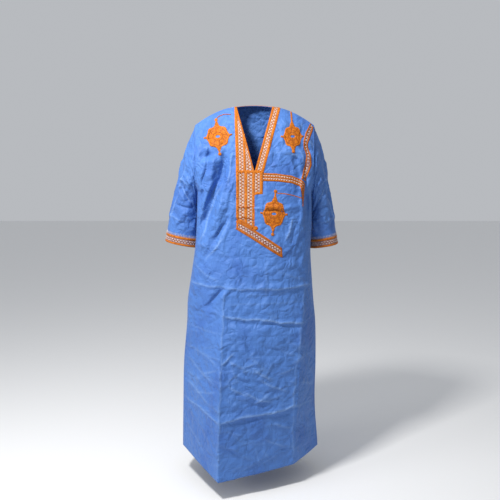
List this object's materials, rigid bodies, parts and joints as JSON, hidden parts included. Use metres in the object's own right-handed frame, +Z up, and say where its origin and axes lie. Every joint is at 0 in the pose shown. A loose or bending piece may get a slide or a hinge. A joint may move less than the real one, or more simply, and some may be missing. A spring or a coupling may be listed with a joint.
{
  "type": "djellaba robe",
  "caption": "Long straight robe with an open V neck, wide elbow-length sleeves, a patch pocket and embroidered bands and medallions, in its hollow worn form.",
  "frame": {"origin": "midway between the two neck points of the shoulder seams, where the wearer's shoulders hold the robe up", "axes": "+X towards the wearer's left, +Y towards the back (the front faces -Y), +Z up"},
  "size_m": [0.7194, 0.4799, 1.4368],
  "materials": {
    "blue_cotton": "polished woven cotton",
    "orange_embroidery": "dense thread embroidery"
  },
  "bodies": {
    "root": {"front_panel": "blue_cotton", "back_panel": "blue_cotton", "sleeve_right": "blue_cotton", "sleeve_left": "blue_cotton", "pocket": "blue_cotton", "cuff_band_right": "orange_embroidery", "cuff_band_left": "orange_embroidery", "neck_band_right": "orange_embroidery", "neck_band_left": "orange_embroidery", "neck_band_back": "orange_embroidery", "placket_band": "orange_embroidery", "pocket_diagonal_band": "orange_embroidery", "pocket_top_band": "orange_embroidery", "shoulder_band": "orange_embroidery", "medallion_right_shoulder": "orange_embroidery", "medallion_left_shoulder": "orange_embroidery", "medallion_pocket": "orange_embroidery"}
  },
  "joints": []
}
